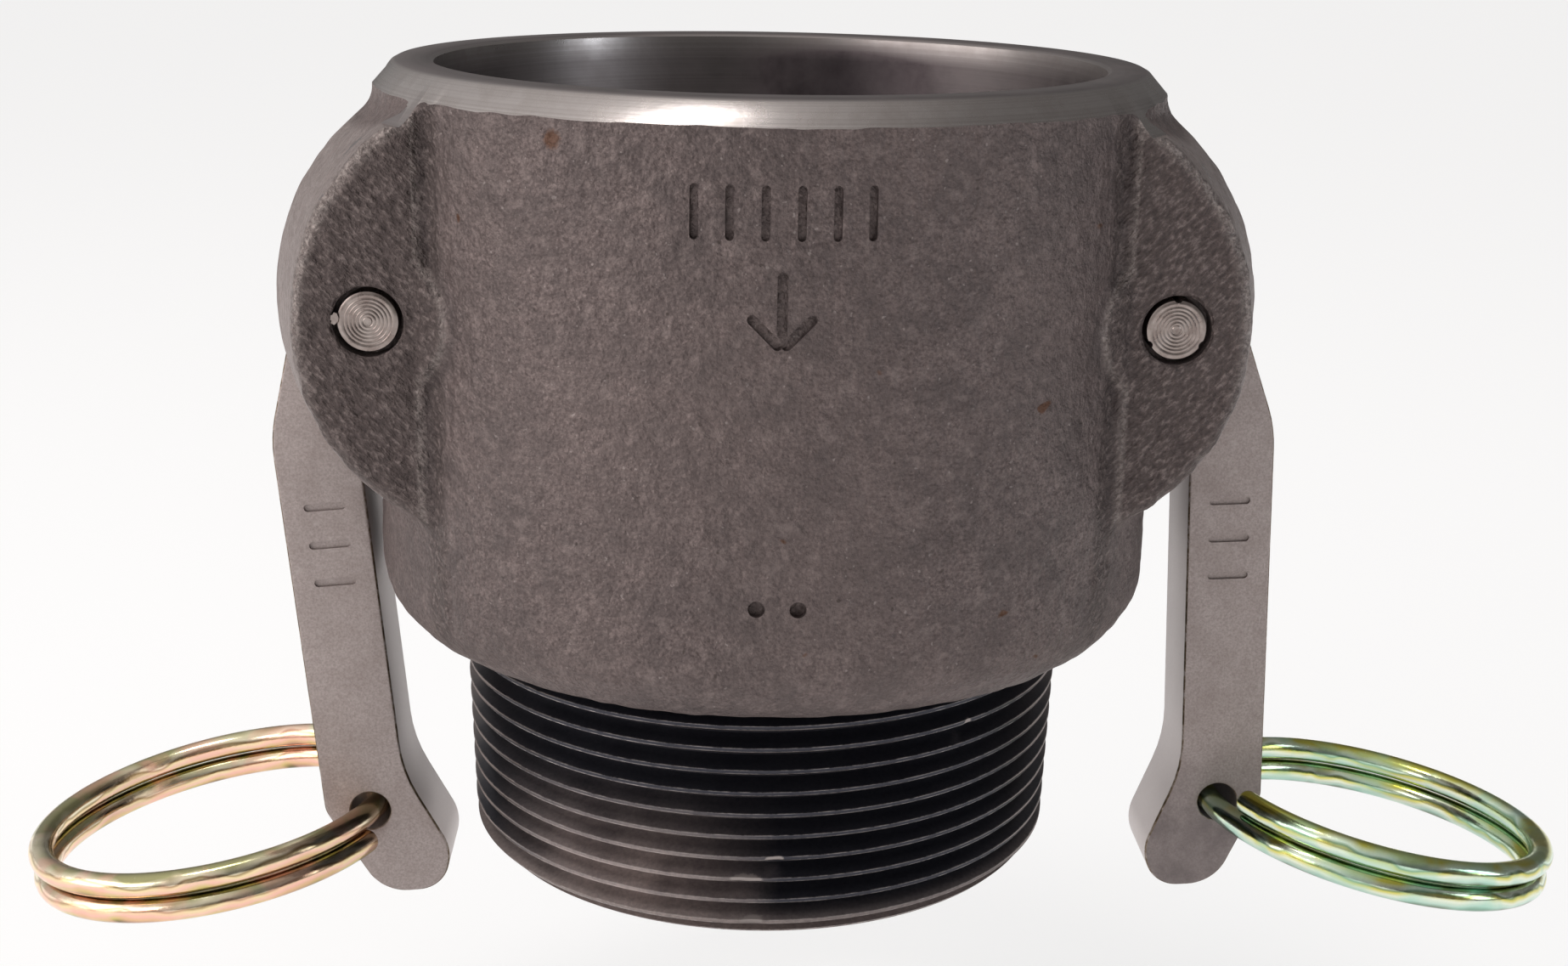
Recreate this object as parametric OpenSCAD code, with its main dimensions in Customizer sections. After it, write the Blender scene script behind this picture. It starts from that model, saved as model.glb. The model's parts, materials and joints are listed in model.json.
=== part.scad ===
// Camlock coupling: a socket body with a male taper pipe thread, two cam arms on cross pins,
// a split pull ring in each arm and a flat gasket at the bottom of the socket.
// Millimetres. The origin is the centre of the thread's end face and +Z points out of the socket.

/* [Body] */
// Height of the body, from the thread's end face to the rim
body_h = 78.9; // [78:0.1:80]
// Outside radius of the barrel at its shoulder
barrel_r = 38.8; // [38.4:0.1:39.2]
// Outside radius of the barrel at its top, under the cone
barrel_top_r = 38.2; // [37.8:0.1:38.8]
// Outside radius of the flat rim
rim_r = 36.3; // [35.8:0.1:36.8]
// Height of the shoulder above the thread's end face
shoulder_z = 23.9; // [23:0.1:24.5]
// Radius that rounds the barrel into the shoulder
shoulder_round = 6.5; // [5:0.5:8]
// Outward growth of the turned cone under the rim, per millimetre down
cone_slope = 0.9; // [0.8:0.05:1]

/* [Socket] */
// Radius of the socket above the nose land
socket_r = 32.2; // [32.1:0.1:32.6]
// Radius of the land that guides the adapter's nose
land_r = 31.9; // [31.7:0.05:32]
// Height of the top of the nose land
land_top_z = 46; // [45:0.1:46.5]
// Height of the top of the gasket recess
recess_top_z = 35.4; // [35.3:0.1:35.8]
// Height of the gasket's seat
seat_z = 29; // [28.8:0.1:29]
// Radius of the gasket recess
recess_r = 33.6; // [33.5:0.1:34]
// Radius of the waterway through the thread
waterway_r = 25.5; // [24:0.1:26]

/* [Thread] */
// Pitch of the thread, 11.5 turns to the inch
pitch = 2.2087; // [2.2:0.0001:2.22]
// Radius over the crests at the end face
crest_r = 29.8; // [29.5:0.05:29.9]
// Depth of the thread
thread_depth = 1.77; // [1.5:0.01:1.8]

/* [Ears] */
// Distance from the middle plane to the outer face of an ear
ear_face_y = 23; // [22.6:0.1:23.4]
// Radius of the upper edge of the ear's face
ear_upper_r = 21.9; // [21.5:0.1:22.2]
// Radius of the lower edge of the ear's face
ear_lower_r = 18.7; // [18.3:0.1:19]
// Radius of the ear's outline beside the slot
ear_slot_r = 23.2; // [22.8:0.1:23.6]
// Width of the slot between the two ears of a pair
slot_w = 10.4; // [10.2:0.1:10.8]

/* [Arms] */
// Distance of the pins from the body's axis
pin_x = 36.4; // [36.35:0.05:36.5]
// Height of the pins
pin_z = 57.3; // [57.2:0.05:57.4]
// Diameter of the pins, 7/32 inch
pin_d = 5.56; // [5.4:0.01:5.6]
// Radial running clearance of the arms on their pins
pin_gap = 0.06; // [0.02:0.01:0.08]
// Thickness of an arm
arm_t = 9.4; // [9:0.1:9.6]
// Outward tilt of the left arm, in degrees
left_tilt = -5.27; // [-6:0.01:0]
// Outward tilt of the right arm, in degrees
right_tilt = 2.67; // [0:0.01:4]

/* [Rings] */
// Diameter of the ring's wire
wire_d = 2.5; // [2.3:0.05:2.55]
// Radius of the ring to the middle of the wire
coil_r = 18.1; // [17.9:0.1:18.3]
// Droop of a ring from level, in degrees
ring_droop = 9.5; // [0:0.1:20]
// Sideways lean of a ring in its hole, in degrees
ring_lean = 2.8; // [0:0.1:3]

/* [Gasket] */
// Outside radius of the gasket
gasket_r = 33.35; // [33.2:0.05:33.4]
// Radius of the gasket's hole
gasket_hole_r = 25.4; // [25:0.1:26]
// Thickness of the gasket
gasket_t = 6.3; // [6.1:0.05:6.35]

/* [Hidden] */
$fn = 96;
LEFT = -1;
RIGHT = 1;
over = 1;
pin_r = pin_d / 2;

// Sizes of the body
rim_lead_h = 2.7;
rim_lead_r = 32.6;
cone_end_r = 40.2;
taper = 1 / 32;
thread_chamfer = 1.4;
ear_upper_centre = [21.2, 57];
ear_lower_centre = [24.5, 56];
ear_root_x = 31.8;
ear_slot_y = 6;
boss_r = 7.2;
boss_rise = 0.4;
slot_floor_x = 36.6;
slot_end_z = 41;
window_r = 11.5;
hole_mouth_r = 3.2;
hole_mouth_depth = 2.2;
pin_recess = 0.2;
pin_chamfer = 0.35;

// Sizes of the arms and rings. Points are [outward, up, corner radius] from the pin's axis.
ring_hole = [9.6, -55.4];
ring_hole_r = 2.1;
arm_corners = [
    [10.3, 1.5, 2.5],
    [-6.2, 6.5, 5],
    [-8.9, -3, 4.5],
    [-4.5, -8, 3],
    [1, -8.9, 4],
    [5.7, -16.8, 9],
    [5.7, -51.3, 15],
    [1.65, -60.7, 4.8],
    [3.1, -65, 3.4],
    [9.5, -65, 4.6],
    [14.3, -55.1, 3],
    [14.3, -14.5, 14],
    [10.6, -3, 4]
];
coil_pitch = wire_d + 0.15;
coil_back_gap = 28;
left_front_gap = 22;
right_front_gap = 27;
// Where the wire lies in the arm's hole: inward, towards the front and down from the hole's middle
coil_shift_in = 0.76;
left_shift_front = -0.3;
right_shift_front = 1.9;
coil_shift_down = 0.28;

// Points of an arc about a centre, from one angle to another
function arc(centre, r, from, to, steps) = [
    for (k = [0:steps])
        let (a = from + (to - from) * k / steps)
        centre + r * [cos(a), sin(a)]
];

function unit(v) = v / norm(v);

// The points that round one corner of an outline
function rounded_corner(before, corner, after) =
    let (
        p = [corner.x, corner.y],
        u = unit([before.x, before.y] - p),
        v = unit([after.x, after.y] - p),
        half = acos(u * v) / 2,
        r = corner.z,
        centre = p + unit(u + v) * r / sin(half),
        start = p + u * r / tan(half) - centre,
        turn = sign(cross(start, p - centre)) * (180 - 2 * half),
        from = atan2(start.y, start.x)
    )
    arc(centre, r, from, from + turn, max(3, ceil(abs(turn) / 15)));

// An outline with every corner rounded
function rounded(corners) =
    let (n = len(corners))
    [
        for (i = [0:n - 1])
            each rounded_corner(corners[(i + n - 1) % n], corners[i], corners[(i + 1) % n])
    ];

// Stands a flat outline up in the XZ plane and gives it a thickness about Y = 0
module upright(t)
{
    rotate([90, 0, 0])
        linear_extrude(height = t, center = true)
            children();
}

// A round bar along Y, centred on one side's pin
module cross_bar(side, r, length)
{
    translate([side * pin_x, 0, pin_z])
        rotate([90, 0, 0])
            cylinder(r = r, h = length, center = true);
}

// ---- Body ----

// One pitch of the thread as [fraction of a pitch, depth below the crest]
thread_form = [[0, 1], [0.06, 1], [0.47, 0], [0.59, 0]];

// A solid screw, longer than the thread at both ends
module thread_rod()
{
    sides = 48;
    rows = 4 * 14;
    start_z = -1.5 * pitch;
    function row_z(i, k) =
        start_z + pitch * (floor(k / 4) + thread_form[k % 4].x + i / sides);
    function point(i, k) =
        let (
            z = row_z(i, k),
            r = crest_r + z * taper - thread_depth * thread_form[k % 4].y,
            a = 360 * i / sides
        )
        [r * cos(a), r * sin(a), z];
    // The last column joins the first one a pitch higher
    function index(i, k) = i < sides ? i * (rows + 5) + k : k + 4;
    points = [for (i = [0:sides - 1]) for (k = [0:rows + 4]) point(i, k)];
    low = len(points);
    high = low + 1;
    wall = [
        for (i = [0:sides - 1])
            for (k = [0:rows - 1])
                each [
                    [index(i, k), index(i, k + 1), index(i + 1, k + 1)],
                    [index(i, k), index(i + 1, k + 1), index(i + 1, k)]
                ]
    ];
    ends = [
        for (i = [0:sides - 1])
            each [
                [low, index(i, 0), index(i + 1, 0)],
                [high, index(i + 1, rows), index(i, rows)]
            ]
    ];
    steps = [
        for (k = [0:3])
            each [
                [low, index(0, k + 1), index(0, k)],
                [high, index(0, rows + k), index(0, rows + k + 1)]
            ]
    ];
    polyhedron(
        points = concat(points, [[0, 0, row_z(0, 0) - pitch], [0, 0, row_z(0, rows) + 2 * pitch]]),
        faces = concat(wall, ends, steps),
        convexity = 10
    );
}

// The thread trimmed to its length, with a chamfered end
module pipe_thread()
{
    start_r = crest_r - thread_chamfer;
    intersection()
    {
        thread_rod();
        rotate_extrude()
            polygon([
                [0, 0],
                [start_r, 0],
                [start_r + 4, 4],
                [start_r + 4, shoulder_z + over],
                [0, shoulder_z + over]
            ]);
    }
}

module barrel()
{
    corner = [barrel_r - shoulder_round, shoulder_z + shoulder_round];
    rotate_extrude()
        polygon(concat(
            [[0, shoulder_z]],
            arc(corner, shoulder_round, -90, 0, 6),
            [[barrel_top_r, body_h], [0, body_h]]
        ));
}

// Outline of the ears where their faces are
module ear_face_outline()
{
    upper = arc(ear_upper_centre, ear_upper_r, 62, 0, 9);
    lower = arc(ear_lower_centre, ear_lower_r, 0, -66, 9);
    polygon(concat([[ear_root_x, body_h - over]], upper, lower, [[ear_root_x, 39]]));
}

// Outline of the ears beside the slot
module ear_slot_outline()
{
    edge = arc(ear_lower_centre, ear_slot_r, 72, -66, 18);
    polygon(concat(edge, [[ear_root_x, 39]]));
}

// Both ears of the right side in one block, with low round bosses on the barrel beside the pin's ends
module ear_block()
{
    hull()
    {
        upright(2 * ear_face_y)
            ear_face_outline();
        upright(2 * ear_slot_y)
            ear_slot_outline();
    }
    intersection()
    {
        cross_bar(RIGHT, boss_r, 2 * barrel_r);
        cylinder(r = barrel_r + boss_rise, h = body_h);
    }
}

// The four ears, clear of each other between the pairs
module ears()
{
    difference()
    {
        union()
        {
            ear_block();
            mirror([1, 0, 0])
                ear_block();
        }
        translate([0, 0, body_h / 2])
            cube([4 * barrel_r, slot_w, 2 * body_h], center = true);
    }
}

// What the lathe takes off above the rim and outside the cone under it. The cone runs a little way
// onto the ears and stops.
module turning_waste()
{
    far = 60;
    top = body_h + 10;
    cone_end_z = body_h - (cone_end_r - rim_r) / cone_slope;
    rotate_extrude()
        polygon([
            [0, body_h],
            [rim_r, body_h],
            [cone_end_r, cone_end_z],
            [far, cone_end_z],
            [far, top],
            [0, top]
        ]);
}

// The turned hollow: waterway, gasket recess, nose land, socket and lead-in
module socket_void()
{
    rotate_extrude()
        polygon([
            [0, -over],
            [waterway_r, -over],
            [waterway_r, seat_z],
            [recess_r, seat_z],
            [recess_r, recess_top_z],
            [land_r, recess_top_z],
            [land_r, land_top_z],
            [socket_r, land_top_z + over],
            [socket_r, body_h - rim_lead_h],
            [rim_lead_r, body_h],
            [rim_lead_r, body_h + over],
            [0, body_h + over]
        ]);
}

// The slot's floor in the barrel's wall, and the window it opens into the socket
module arm_slot(side)
{
    slot_depth = 20;
    translate([side * (slot_floor_x + slot_depth / 2), 0, (slot_end_z + body_h) / 2 + over])
        cube([slot_depth, slot_w, body_h - slot_end_z + 2 * over], center = true);
    cross_bar(side, window_r, slot_w);
}

// The pin's hole through both ears, opened out where the pin's ends show
module pin_hole(side)
{
    cross_bar(side, pin_r, 2 * ear_face_y + 4);
    mouth_mid = ear_face_y - hole_mouth_depth + 2;
    for (end = [-1, 1])
        translate([0, end * mouth_mid, 0])
            cross_bar(side, hole_mouth_r, 4);
}

module body()
{
    color("#7b6f6b")
    difference()
    {
        union()
        {
            barrel();
            pipe_thread();
            ears();
        }
        turning_waste();
        socket_void();
        for (side = [LEFT, RIGHT])
        {
            arm_slot(side);
            pin_hole(side);
        }
    }
}

// ---- Gasket ----

module gasket()
{
    bevel = 0.6;
    color("#1d1d1f")
    translate([0, 0, seat_z])
        rotate_extrude()
            polygon([
                [gasket_hole_r, 0],
                [gasket_r, 0],
                [gasket_r, gasket_t - bevel],
                [gasket_r - bevel, gasket_t],
                [gasket_hole_r + bevel, gasket_t],
                [gasket_hole_r, gasket_t - bevel]
            ]);
}

// ---- Arms and pins ----

// Places something drawn from the pin's axis on one side, with +X outward
module on_pin(side, tilt)
{
    translate([side * pin_x, 0, pin_z])
        mirror([side == LEFT ? 1 : 0, 0, 0])
            rotate([0, -tilt, 0])
                children();
}

module cam_arm(side, tilt)
{
    on_pin(side, tilt)
        difference()
        {
            upright(arm_t)
                polygon(rounded(arm_corners));
            rotate([90, 0, 0])
                cylinder(r = pin_r + pin_gap, h = 2 * arm_t, center = true);
            translate([ring_hole.x, 0, ring_hole.y])
                rotate([90, 0, 0])
                    cylinder(r = ring_hole_r, h = 2 * arm_t, center = true);
        }
}

module left_cam_arm()
{
    color("#8c807b")
        cam_arm(LEFT, left_tilt);
}

module right_cam_arm()
{
    color("#8c807b")
        cam_arm(RIGHT, right_tilt);
}

module arm_pin(side)
{
    half = ear_face_y - pin_recess;
    translate([side * pin_x, 0, pin_z])
        rotate([90, 0, 0])
            rotate_extrude()
                polygon([
                    [0, -half],
                    [pin_r - pin_chamfer, -half],
                    [pin_r, -half + pin_chamfer],
                    [pin_r, half - pin_chamfer],
                    [pin_r - pin_chamfer, half],
                    [0, half]
                ]);
}

module left_arm_pin()
{
    color("#b8b0ac")
        arm_pin(LEFT);
}

module right_arm_pin()
{
    color("#b8b0ac")
        arm_pin(RIGHT);
}

// ---- Pull rings ----

// A wire coil of nearly two turns. Its middle turn crosses the XZ plane on +X, and the low and the
// high end stop short of that plane by the given angles.
module wire_coil(low_gap, high_gap)
{
    steps = 96;
    sides = 8;
    function angle(i) = low_gap - 360 + (720 - low_gap - high_gap) * i / steps;
    function point(i, j) =
        let (
            a = -angle(i),
            r = coil_r + wire_d / 2 * cos(360 * j / sides)
        )
        [r * cos(a), r * sin(a), coil_pitch * angle(i) / 360 + wire_d / 2 * sin(360 * j / sides)];
    points = [for (i = [0:steps]) for (j = [0:sides - 1]) point(i, j)];
    wall = [
        for (i = [0:steps - 1])
            for (j = [0:sides - 1])
                let (
                    a = i * sides + j,
                    b = i * sides + (j + 1) % sides
                )
                each [[a, b + sides, b], [a, a + sides, b + sides]]
    ];
    polyhedron(
        points = points,
        faces = concat(
            wall,
            [[for (j = [0:sides - 1]) j]],
            [[for (j = [sides - 1:-1:0]) steps * sides + j]]
        ),
        convexity = 10
    );
}

// The coil with its middle in the hole of one side's arm
module pull_ring(side, tilt, front_gap, shift_front)
{
    hole = [
        ring_hole.x * cos(tilt) - ring_hole.y * sin(tilt),
        ring_hole.x * sin(tilt) + ring_hole.y * cos(tilt)
    ];
    translate([side * (pin_x + hole.x), 0, pin_z + hole.y])
        rotate([0, side * ring_droop, 0])
            rotate([-ring_lean, 0, 0])
                translate([side * (coil_r - coil_shift_in), -shift_front, -coil_shift_down])
                    if (side == LEFT)
                        wire_coil(front_gap, coil_back_gap);
                    else
                        rotate([0, 0, 180])
                            wire_coil(coil_back_gap, front_gap);
}

module left_pull_ring()
{
    color("#c9a94a")
        pull_ring(LEFT, left_tilt, left_front_gap, left_shift_front);
}

module right_pull_ring()
{
    color("#b9b455")
        pull_ring(RIGHT, right_tilt, right_front_gap, right_shift_front);
}

body();
gasket();
left_cam_arm();
right_cam_arm();
left_arm_pin();
right_arm_pin();
left_pull_ring();
right_pull_ring();
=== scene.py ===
"""Looks for a camlock coupling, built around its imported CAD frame.

Shapes are modelled in millimetres about the row's origin and scaled to metres when each piece is
published. The places of the pins and pull rings come from the frame's joints, and the main sizes
come from the boxes of the CAD nodes.
"""
import itertools
import json
import math

import bpy
import bmesh
import numpy as np
import openvdb
from mathutils import Matrix, Vector


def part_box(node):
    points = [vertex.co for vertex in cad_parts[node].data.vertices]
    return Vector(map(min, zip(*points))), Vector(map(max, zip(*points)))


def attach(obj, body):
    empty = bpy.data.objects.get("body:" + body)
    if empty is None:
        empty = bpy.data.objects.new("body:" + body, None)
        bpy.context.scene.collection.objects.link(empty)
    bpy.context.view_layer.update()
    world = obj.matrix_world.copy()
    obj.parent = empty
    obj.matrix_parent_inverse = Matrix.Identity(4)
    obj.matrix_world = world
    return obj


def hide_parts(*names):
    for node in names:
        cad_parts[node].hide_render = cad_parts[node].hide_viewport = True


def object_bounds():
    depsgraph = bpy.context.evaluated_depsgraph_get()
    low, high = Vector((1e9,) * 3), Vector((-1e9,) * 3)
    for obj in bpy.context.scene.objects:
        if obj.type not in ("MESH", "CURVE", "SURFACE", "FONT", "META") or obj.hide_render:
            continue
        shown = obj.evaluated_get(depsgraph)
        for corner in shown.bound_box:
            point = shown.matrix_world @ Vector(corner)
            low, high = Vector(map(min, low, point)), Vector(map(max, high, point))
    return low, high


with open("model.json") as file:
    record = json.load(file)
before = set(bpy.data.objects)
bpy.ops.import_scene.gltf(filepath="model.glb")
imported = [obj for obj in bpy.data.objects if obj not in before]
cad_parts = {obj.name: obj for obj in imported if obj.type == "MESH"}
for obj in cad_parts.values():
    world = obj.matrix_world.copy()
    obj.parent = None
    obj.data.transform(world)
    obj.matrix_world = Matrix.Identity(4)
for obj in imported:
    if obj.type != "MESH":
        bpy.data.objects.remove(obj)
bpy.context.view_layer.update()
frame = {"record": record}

MM = 0.001
LEFT, RIGHT = -1, 1
SIDES = {"left": LEFT, "right": RIGHT}


def box_mm(node):
    """The lowest and highest corner of a CAD node, in millimetres."""
    low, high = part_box(node)
    return np.array(low) / MM, np.array(high) / MM


def joint_mm(name):
    """Where a joint of the frame sits, in millimetres."""
    for joint in frame["record"]["behaviour"]["joints"]:
        if joint["name"] == name:
            return np.array(joint["pos_m"]) / MM
    raise KeyError(name)


# ------------------------------ fineness of the meshes

VOXEL = 0.42
LATHE_STEPS = 288
THREAD_STEPS = 216
COIL_STEPS = 480
WIRE_SIDES = 24


# ------------------------------ sizes of the body, in millimetres

HEIGHT = box_mm("body")[1][2]
BARREL_R = box_mm("body")[1][1]
BARREL_TOP_R = BARREL_R - 0.6
SHOULDER_Z = 23.9
SHOULDER_ROUND = 6.5
RIM_R = 36.3
CONE_SLOPE = 0.9
CONE_END_R = 40.2
CONE_END_Z = HEIGHT - (CONE_END_R - RIM_R) / CONE_SLOPE

SOCKET_R = 32.2
LAND_R = 31.9
LAND_TOP_Z = 46.0
RECESS_R = 33.6
RECESS_TOP_Z = 35.4
SEAT_Z = box_mm("gasket")[0][2]
GASKET_HOLE_R = 25.4
WATERWAY_R = 25.5
LEAD_R = 32.6
LEAD_H = 2.7

PITCH = 25.4 / 11.5
TURNS = 14
CREST_R = 29.95
THREAD_DEPTH = 1.77
TAPER = 1 / 32
# One pitch of the thread as (part of the pitch, part of the depth)
THREAD_FORM = [(0.0, 0.97), (0.03, 1.0), (0.07, 1.0), (0.1, 0.97), (0.25, 0.56), (0.43, 0.06), (0.462, 0.0),
               (0.49, 0.012), (0.59, 0.012), (0.618, 0.0), (0.65, 0.06), (0.83, 0.56)]
# Nicks on the thread's crests: (angle from the front in degrees, height, length round the thread)
NICKS = [(1.2, 8.1, 1.6), (-4.0, 6.0, 2.6), (-3.0, 1.7, 1.8), (38.0, 19.4, 0.8)]
NICK_DEPTH = 0.3
# The thread's end is chamfered at 45 degrees, from this radius up to about this height
END_R = CREST_R - 1.5
END_H = 1.8

PIN_X = joint_mm("right_arm_swing")[0]
PIN_Z = joint_mm("right_arm_swing")[2]
PIN_R = 2.78
HOLE_MOUTH_R = 3.2
HOLE_MOUTH_DEPTH = 2.2
# Outline of the burr raised beside the left pin when it was staked, from the pin's edge
BURR = [(0.25, 0.35), (0.1, 0.75), (-0.15, 0.85), (-0.3, 0.6), (-0.6, 0.55), (-0.7, 0.25), (-0.4, 0.1),
        (-0.45, -0.15), (-0.15, -0.3), (0.15, 0.0)]

EAR_FACE_Y = 23.0
EAR_SLOT_Y = 6.0
EAR_ROOT_X = 31.8
EAR_LOWER_CENTRE = (24.5, 56.0)
EAR_UPPER_CENTRE = (21.2, 57.0)
EAR_LOWER_R = 18.7
EAR_UPPER_R = 21.9
EAR_SLOT_R = 23.2
EAR_ROOT_ROUND, EAR_FACE_ROUND, EAR_FILLET = 0.8, 1.0, 1.4
BOSS_R = 7.2
BOSS_RISE = 0.4
# The soft valley beside each ear, how far up it runs, and the raised lip along the ear's inner edge
VALLEY_DEPTH = 0.15
VALLEY_Z = (37.0, 77.0)
VALLEY_RUN_OUT = 6.0
LIP_HEIGHT = 0.22

SLOT_W = 10.4
SLOT_FLOOR_X = 36.6
SLOT_END_Z = 41.0
WINDOW_R = 11.5
# Farther out than any part of the body
CLEAR = 60.0

# The casting's relief as (height, size of its lumps, seed), and that of the grain on the ears' faces
RELIEF = [(0.10, 9.0, 11), (0.07, 3.2, 12), (0.075, 1.4, 13)]
EAR_GRAIN_HEIGHT = 0.15
MARK_DEPTH = 0.95
# A small brown stain on the front of the barrel, under the rim
RUST_SPOT = (-19.1, -33.15, 75.0)


# ------------------------------ sizes of the arms and rings

ARM_T = 2 * box_mm("left_cam_arm")[1][1]
ARM_EDGE_ROUND = 0.3
ARM_TILT = {"left": -5.27, "right": 2.67}
RING_HOLE = (9.6, -55.4)
RING_HOLE_R = 2.1
# The arm's outline from its pin's axis, as (outward, up, corner radius)
ARM_CORNERS = [
    (10.3, 1.5, 2.5), (-6.2, 6.5, 5), (-8.9, -3, 4.5), (-4.5, -8, 3), (1, -8.9, 4),
    (5.7, -16.8, 9), (5.7, -51.3, 15), (1.65, -60.7, 4.8), (3.1, -65, 3.4), (9.5, -65, 4.6),
    (14.3, -55.1, 3), (14.3, -14.5, 14), (10.6, -3, 4),
]

WIRE_R = 1.25
COIL_R = 18.1
COIL_PITCH = 2 * WIRE_R + 0.15
# Degrees between each end of the wire and the arm
COIL_BACK_GAP = 28
COIL_FRONT_GAP = {"left": 22, "right": 27}
# How far the coil's centre is moved from its place round the hole
COIL_SHIFT_Y = {"left": 0.3, "right": -1.9}
COIL_SHIFT_IN = 0.76
COIL_SHIFT_DOWN = 0.28
RING_DROOP = 9.5
RING_LEAN = 2.8


# ------------------------------ colours

CAST = {
    "grain_dark": (0.076, 0.058, 0.056), "grain_light": (0.172, 0.136, 0.131),
    "patch": (0.074, 0.06, 0.059), "lump": (0.22, 0.178, 0.17), "tone": (0.155, 0.121, 0.115),
    "fleck": (0.3, 0.26, 0.25), "pit": (0.05, 0.038, 0.034), "rust": (0.085, 0.036, 0.017),
    "ridge_low": (0.05, 0.039, 0.038), "ridge_middle": (0.088, 0.069, 0.066),
    # The groove colour is painted shadow beside the ears' inner edges.
    "ridge_high": (0.21, 0.172, 0.164), "flank": (0.31, 0.27, 0.26), "groove": (0.05, 0.04, 0.04),
    # This colour serves worn edges, painted highlights along the ears' inner edges and painted light on the
    # thread's end.
    "bare_and_lit": (0.38, 0.335, 0.315),
}
TURNED = {
    "dark": (0.31, 0.285, 0.275), "light": (0.4, 0.375, 0.365), "film": (0.215, 0.185, 0.172),
    # The browns and the near-black colour paint shade in the bore and on the cone's left end; the browns
    # also colour the rim.
    "brown_dark": (0.075, 0.062, 0.066), "brown_light": (0.13, 0.11, 0.115), "bore_centre_shade": (0.02, 0.018, 0.02),
}
THREAD = {
    # The lighter patch, edge-on and end colours paint light on the thread, and the crest colour paints
    # highlights along its crests.
    "dark": (0.024, 0.026, 0.036), "light": (0.055, 0.053, 0.062), "painted_light_patch": (0.34, 0.285, 0.27),
    "grazing_sheen": (0.36, 0.31, 0.295), "end_dark": (0.15, 0.126, 0.12), "end_light": (0.36, 0.305, 0.29),
    "crest": (0.45, 0.415, 0.4), "nick": (0.27, 0.24, 0.23),
}
ARM = {
    "dark": (0.28, 0.236, 0.226), "light": (0.375, 0.326, 0.312), "patch": (0.225, 0.183, 0.17),
    # One dark colour here paints shade on the right arm's foot.
    "rub": (0.43, 0.385, 0.37), "foot_shade": (0.12, 0.1, 0.1), "cut_side": (0.68, 0.63, 0.62),
    "scratch": (0.58, 0.54, 0.52),
    "edge_dark": (0.07, 0.047, 0.026), "edge_middle": (0.17, 0.125, 0.085), "edge_light": (0.36, 0.31, 0.29),
}
PIN = {"dark": (0.22, 0.18, 0.165), "light": (0.37, 0.322, 0.3)}
RUBBER = {"dark": (0.012, 0.012, 0.013), "light": (0.032, 0.031, 0.031)}

# Where each tint of a ring's film and painted light sits, from wire that faces down to wire that faces up.
# The darkest tints paint shade and dark reflections and the palest paint highlights.
FILM_AND_LIGHT_PLACES = (0.02, 0.22, 0.42, 0.58, 0.67, 0.76, 0.97)
# The name of each ring's metal, the blush that drifts over it and the tints of its film, which also paint
# its shade, dark reflections and highlights
RING_FILM_AND_LIGHT = {
    "left": ("zinc_warm", (0.86, 0.42, 0.36), [
        (0.12, 0.1, 0.03), (0.62, 0.5, 0.2), (0.84, 0.56, 0.45), (0.84, 0.68, 0.4),
        (0.36, 0.26, 0.13), (0.85, 0.78, 0.58), (0.36, 0.35, 0.18)]),
    "right": ("zinc_green", (0.3, 0.62, 0.5), [
        (0.08, 0.12, 0.05), (0.5, 0.68, 0.58), (0.74, 0.8, 0.66), (0.64, 0.6, 0.16),
        (0.2, 0.27, 0.12), (0.72, 0.82, 0.68), (0.45, 0.44, 0.08)]),
}
BARE_ZINC = (0.75, 0.74, 0.7)


# ------------------------------ stage

# Half the floor's side in metres, and how far it lies under the coupling in millimetres, so that the
# pull rings can hang straight down
FLOOR_HALF = 3.0
FLOOR_DROP = 30.0
# The floor's glow to the camera and to everything else
FLOOR_GLOW, FLOOR_BOUNCE = 0.68, 0.38
# The room's level on its dark side and its light side, what its ceiling adds, and what the camera sees
ROOM_DARK, ROOM_LIGHT, ROOM_TOP, ROOM_SEEN = 0.12, 0.95, 0.2, 0.9
ROOM_LIGHT_SIDE = (-0.75, -0.1, 0.6)
ROOM_TINT = (1.0, 0.96, 0.94)
# name, place and size in metres, power in watts, colour
LIGHTS = [
    ("overhead", (-0.17, -0.1, 0.68), (0.09, 0.22), 1.0, (1.0, 0.97, 0.95)),
    ("left", (-0.75, -0.15, 0.25), (0.5, 0.5), 1.9, (1.0, 0.95, 0.92)),
    ("front_left", (-0.55, -0.5, 0.3), (0.22, 0.3), 0.8, (1.0, 0.94, 0.92)),
    ("right", (0.72, -0.28, 0.28), (0.2, 0.35), 0.9, (0.88, 0.94, 1.0)),
]
# What the lights face, in metres
LIT_POINT = (0, 0, 0.045)
# The camera's place in millimetres, its angles in degrees and its lens
CAMERA_PLACE = (-6.85, -208.6, 96.9)
CAMERA_YAW, CAMERA_PITCH, CAMERA_ROLL = 2.435, 16.27, 1.11
CAMERA_LENS = 48.43
SENSOR_WIDTH = 36


# ------------------------------ mesh helpers

def new_object(name, points, faces):
    """A mesh object, in millimetres, with its faces turned outward."""
    mesh = bpy.data.meshes.new(name)
    mesh.from_pydata([tuple(p) for p in points], [], [tuple(f) for f in faces])
    obj = add_to_scene(name, mesh)
    weld(obj)
    return obj


def add_to_scene(name, data):
    """A new object in the scene's collection."""
    obj = bpy.data.objects.new(name, data)
    bpy.context.scene.collection.objects.link(obj)
    return obj


def weld(obj, distance=1e-4):
    """Merges doubled points and turns the faces outward."""
    bm = bmesh.new()
    bm.from_mesh(obj.data)
    bmesh.ops.remove_doubles(bm, verts=bm.verts, dist=distance)
    bmesh.ops.recalc_face_normals(bm, faces=bm.faces)
    if bm.calc_volume(signed=True) < 0:
        bmesh.ops.reverse_faces(bm, faces=bm.faces)
    bm.to_mesh(obj.data)
    bm.free()


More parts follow.
